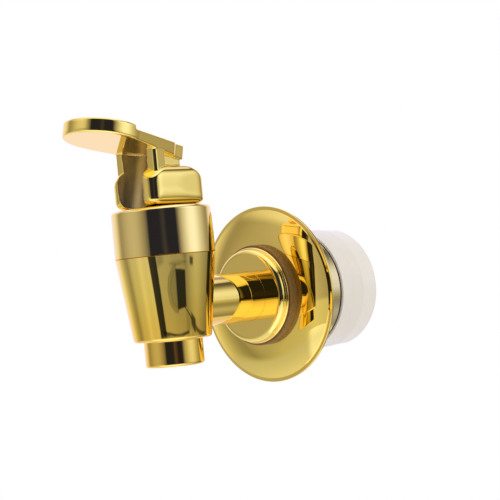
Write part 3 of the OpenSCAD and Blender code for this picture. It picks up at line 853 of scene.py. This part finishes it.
def make_spring():
    """Return spring: a round wire wound up between the plate and the washer, with closed ends."""
    coil_r = 7.0 * MM
    wire_r = 0.6 * MM
    turns = 6
    steps = 64
    flat = 0.8
    low = SPRING_LOW.z + wire_r
    high = SPRING_HIGH.z - wire_r
    path = bpy.data.curves.new("coil_path", "CURVE")
    path.dimensions = "3D"
    path.bevel_depth = wire_r
    path.bevel_resolution = 4
    path.use_fill_caps = True
    count = turns * steps + 1
    spline = path.splines.new("POLY")
    spline.points.add(count - 1)
    for i, point in enumerate(spline.points):
        turn = i / steps
        rise = min(1.0, max(0.0, (turn - flat) / (turns - 2 * flat)))
        angle = TURN * turn
        point.co = (coil_r * math.cos(angle), AXIS_Y + coil_r * math.sin(angle), low + (high - low) * rise, 1)
    holder = placed("coil_path", path)
    graph = bpy.context.evaluated_depsgraph_get()
    mesh = bpy.data.meshes.new_from_object(holder.evaluated_get(graph))
    bm = bmesh.new()
    bm.from_mesh(mesh)
    bpy.data.objects.remove(holder)
    bpy.data.curves.remove(path)
    bpy.data.meshes.remove(mesh)
    close_up(bm)
    piece = finished(bm, "return_coil", "tap", STEEL, ["return_spring"])
    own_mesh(piece)
    return piece


def dress_solids():
    """Finishes of the solids that stay as they are."""
    coats = {
        "bonnet_seal": RUBBER, "stem_seal": RUBBER, "shank_seal_front": RUBBER, "shank_seal_back": RUBBER,
        "stem_guide": NYLON, "seat_plug": SILICONE, "spring_washer": STEEL, "stem": STEEL,
        "plug_plate": STEEL, "plug_screw": STEEL, "hinge_pin": STEEL, "shank_clip": STEEL,
    }
    for node, coat in coats.items():
        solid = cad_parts[node]
        solid.data.materials.clear()
        solid.data.materials.append(coat)


# Camera: where it stands, seen from the tap, and how it is turned
CAMERA_AZIMUTH = math.radians(44.564)
CAMERA_PITCH = math.radians(1.101)
CAMERA_ROLL = math.radians(-5.534)
CAMERA_PLACE = (0.35641, -0.36809, 0.00585)
CAMERA_LENS = 108.0
CAMERA_SHIFT = (-0.0014, -0.001)


def make_camera():
    az, pitch, roll = CAMERA_AZIMUTH, CAMERA_PITCH, CAMERA_ROLL
    ahead = Vector((-math.sin(az) * math.cos(pitch), math.cos(az) * math.cos(pitch), math.sin(pitch)))
    level = Vector((math.cos(az), math.sin(az), 0))
    top = level.cross(ahead)
    right = level * math.cos(roll) + top * math.sin(roll)
    up = top * math.cos(roll) - level * math.sin(roll)
    lens = bpy.data.cameras.new("camera")
    lens.lens = CAMERA_LENS
    lens.sensor_width = 36.0
    lens.shift_x, lens.shift_y = CAMERA_SHIFT
    lens.clip_start = 0.01
    camera = placed("camera", lens)
    camera.matrix_world = axes_matrix(right, up, -ahead, CAMERA_PLACE)
    bpy.context.scene.camera = camera


# Brightness round the tap. Bearings are in degrees from the camera's side, positive to its right.
# First what stands above the table's edge, then the table itself, then how the right side changes with height
WALL_LEVELS = [
    (-180, 1.3), (-143, 1.0), (-129, 0.92), (-122, 0.80), (-116, 0.60), (-109, 0.37), (-103, 0.37),
    (-93, 0.46), (-80, 0.55), (-68, 0.59), (-57, 0.55), (-47, 0.44), (-37, 0.28), (-31, 0.14), (-28, 0.02),
    (-3, 0.02), (6, 0.05), (13, 0.02), (35, 0.02), (39, 0.16), (43, 0.36), (51, 0.63), (58, 0.84),
    (66, 1.03), (77, 1.12), (87, 0.97), (97, 0.74), (112, 0.47), (122, 0.34), (128, 0.40), (135, 0.85),
    (180, 1.3),
]
TABLE_LEVELS = [
    (-180, 1.02), (-140, 1.0), (-130, 0.93), (-121, 0.72), (-112, 0.52), (-104, 0.38), (-97, 0.31),
    (-91, 0.44), (-84, 0.58), (-70, 0.62), (-60, 0.78), (-47, 0.68), (-36, 0.72), (-20, 0.45), (0, 0.43),
    (12, 0.40), (22, 0.36), (50, 0.36), (60, 0.42), (180, 1.0),
]
RIGHT_LEVELS = [
    (-60, 0.92), (-40, 0.9), (-33, 0.86), (-29, 0.75), (-26, 0.6), (-23, 0.48), (-20, 0.40), (-16, 0.38),
    (-13, 0.46), (-9, 0.58), (-5, 0.70), (-1, 0.86), (1.5, 1.0), (2.6, 1.0), (3.6, 0.92), (10, 1.05),
    (20, 1.17), (26, 1.08), (29, 0.96), (33, 0.74), (37, 0.5), (41, 0.27), (60, 0.27),
]
TOP_LEVEL = 1.5


def smooth(finish, value, low, high):
    """Rises from 0 at low to 1 at high, or falls where low is the larger one."""
    a, b, c, d = (low, high, 0.0, 1.0) if low < high else (high, low, 1.0, 0.0)
    return finish.node(
        "ShaderNodeMapRange", {"interpolation_type": "SMOOTHSTEP"}, {"Value": value, 1: a, 2: b, 3: c, 4: d}
    )


def window(finish, value, low, high, edge):
    """1 between low and high, with soft edges."""
    return smooth(finish, value, low - edge, low + edge) * smooth(finish, value, high + edge, high - edge)


def levels_along(finish, degrees, span, levels):
    """A brightness that follows the listed levels from -span to span degrees."""
    stops = [(0.5 + place / (2 * span), (level / TOP_LEVEL,) * 3 + (1,)) for place, level in levels]
    return finish.node("ShaderNodeValToRGB", {"stops": stops}, {0: degrees / (2 * span) + 0.5}) * TOP_LEVEL


def mix(factor, a, b):
    """A number from a, where factor is 0, to b, where it is 1."""
    return factor * b + (1 - factor) * a


def table_marks(sky, bearing, height):
    """Dark things on the table, as the tapered body shows them. Their depth runs down the taper."""
    half = sky.math("COSINE", bearing * (TURN / 720))
    depth = height * -1 / half
    lean_side = bearing + 28 - (depth - 14.2) * 1.9
    lean = window(sky, lean_side, -9, 9, 1.5) * window(sky, depth, 13.4, 17.56, 0.06)
    block = window(sky, depth, 15.16, 16.7, 0.05) * window(sky, bearing, 24.5, 48.5, 2)
    tail_depth = depth - 16.74 - (bearing - 45) * 0.041
    tail = window(sky, tail_depth, -0.05, 0.05, 0.03) * window(sky, bearing, 43, 64, 3)
    blot = window(sky, tail_depth, -0.3, 0.25, 0.1) * window(sky, bearing, 61, 76, 4)
    smear = window(sky, tail_depth, -0.16, 0.1, 0.08) * window(sky, bearing, 74, 112, 5)
    arc_depth = depth - 17.5 - (bearing + 15) * 0.005
    arc = window(sky, arc_depth, -0.06, 0.06, 0.04) * window(sky, bearing, -20, 54, 2)
    brim = window(sky, depth, 14.82, 14.98, 0.1) * window(sky, bearing, 12, 52, 6)
    chip = window(sky, depth, 14.62, 15.0, 0.08) * window(sky, bearing, 61, 70, 2)
    bow_x = (bearing - 34) / 33
    bow_y = depth - 15.88
    bow_r = bow_x * bow_x + bow_y * bow_y
    beside = bearing < 27
    bow = window(sky, bow_r, 0.80, 1.0, 0.06) * beside
    inner = window(sky, bow_r, 0.50, 0.58, 0.05) * beside
    shade = smooth(sky, bow_r, 0.95, 0.7) * beside
    flap = window(sky, depth, 14.2, 14.8, 0.12) * window(sky, bearing, -18, -2, 6)
    open_share = (1 - lean * 0.94) * (1 - block * 0.93) * (1 - tail * 0.85) * (1 - blot * 0.85)
    soft_share = (1 - arc * 0.85) * (1 - brim * 0.4) * (1 - chip * 0.8) * (1 - smear * 0.75)
    bow_share = (1 - bow * 0.3) * (1 - inner * 0.25) * (1 - shade * 0.36) * (1 - flap * 0.35)
    foot_light = smooth(sky, depth, 17.7, 17.95) * window(sky, bearing, -65, 61, 3)
    return open_share * soft_share * bow_share * (foot_light * 0.5 + 1)


def reflected_room(sky):
    """What the plating mirrors: lit walls round a dark gap, a ceiling and a table with dark things."""
    x, y, z = sky.split(sky.node("ShaderNodeTexCoord", output="Generated"))
    az = CAMERA_AZIMUTH
    towards = x * math.sin(az) - y * math.cos(az)
    across = x * math.cos(az) + y * math.sin(az)
    bearing = sky.math("ARCTAN2", across, towards) * DEGREES
    height = sky.math("ARCSINE", z) * DEGREES

    wall = levels_along(sky, bearing, 180, WALL_LEVELS)
    right = window(sky, bearing, 49, 134, 6)
    right_wall = wall * levels_along(sky, height, 60, RIGHT_LEVELS)
    left_lamp = window(sky, bearing, -112, -42, 8) * window(sky, height, 26, 44, 4)
    lamps = wall + left_lamp * 0.35
    dim_band = mix(smooth(sky, height, 34, 41) * smooth(sky, bearing, -45, -35), lamps, 0.42)
    walls = mix(right, dim_band, right_wall)
    ceiling = mix(smooth(sky, height, 43.5, 46.5), walls, 1.0 + smooth(sky, height, 50, 60) * 0.25)
    gap = window(sky, bearing, -31, 41, 2.5) * smooth(sky, height, 50, 44)
    upper = mix(gap, ceiling, wall)

    table = levels_along(sky, bearing, 180, TABLE_LEVELS)
    front = window(sky, bearing, -140, 140, 8)
    far = smooth(sky, height, -15, -21) * front
    far_table = mix(far, table, smooth(sky, height, -18, -42) * 0.27 + 0.62)
    front_edge = window(sky, bearing, -38, 56, 3) * smooth(sky, height, -13.9, -12.6)
    marked = mix(right, far_table * (1 - front_edge * 0.96), right_wall) * table_marks(sky, bearing, height)
    level = mix(smooth(sky, height, -6, -3.6), marked, upper)

    glare = smooth(sky, level, 0.7, 1.05)
    below = smooth(sky, height, -3, -7)
    cool = window(sky, bearing, 42, 104, 12) * (1 - below)
    dusk = window(sky, level, 0.2, 0.5, 0.15) * (1 - below)
    ember = window(sky, bearing, 5, 16, 3) * window(sky, height, -9, 0.5, 1.5)
    red = level + ember * 0.07
    behind = 1 - front
    green_share = cool * 0.07 + 0.96 - dusk * 0.05 + far * 0.04 - behind * 0.02
    green = level * green_share + glare * 0.04 + ember * 0.028 + 0.003
    blue_share = glare * 0.3 + cool * 0.25 + 0.9 - dusk * 0.12 - below * 0.15 + far * 0.25 + behind * 0.35
    blue = level * blue_share + 0.04 - below * 0.02
    return sky.node("ShaderNodeCombineColor", {}, {0: red, 1: green, 2: blue})


# Floor under the tap, in metres
FLOOR_R = 0.2
FLOOR_Z = -0.12


def make_studio():
    """A bright room that only the reflections show, a white ground and a small white floor."""
    world = bpy.data.worlds.new("white_tent")
    bpy.context.scene.world = world
    sky = Finish(world)
    white = (1.0, 1.0, 1.0, 1.0)
    path = sky.tree.nodes.new("ShaderNodeLightPath")
    seen = Value(sky, path.outputs["Is Camera Ray"])
    glossy = Value(sky, path.outputs["Is Glossy Ray"])
    light = sky.blend(glossy, (0.97, 0.97, 0.97, 1.0), reflected_room(sky))
    colour = sky.blend(seen, light, white)
    background = sky.node("ShaderNodeBackground", {}, {"Color": colour, "Strength": 1.0})
    sky.node("ShaderNodeOutputWorld", {}, {"Surface": background})

    bm = bmesh.new()
    bmesh.ops.create_circle(bm, cap_ends=True, segments=96, radius=FLOOR_R)
    bmesh.ops.translate(bm, verts=bm.verts, vec=(0, 0, FLOOR_Z))
    mesh = bpy.data.meshes.new("floor")
    bm.to_mesh(mesh)
    bm.free()
    made, finish = material("white_floor")
    finish.surface({"Base Color": (0.9, 0.9, 0.9, 1.0), "Roughness": 0.8})
    mesh.materials.append(made)
    floor = placed("floor", mesh)
    floor.visible_glossy = False


make_camera()
make_studio()
make_body()
make_bonnet()
make_lever()
make_collar()
make_collar_ring()
make_flange()
make_gasket("front_gasket", "tap", FRONT_GASKET_LOW, FRONT_GASKET_HIGH)
make_gasket("back_gasket", "back_washer", BACK_GASKET_LOW, BACK_GASKET_HIGH)
make_nut()
make_spring()
dress_solids()

bpy.context.scene.view_settings.view_transform = "Standard"
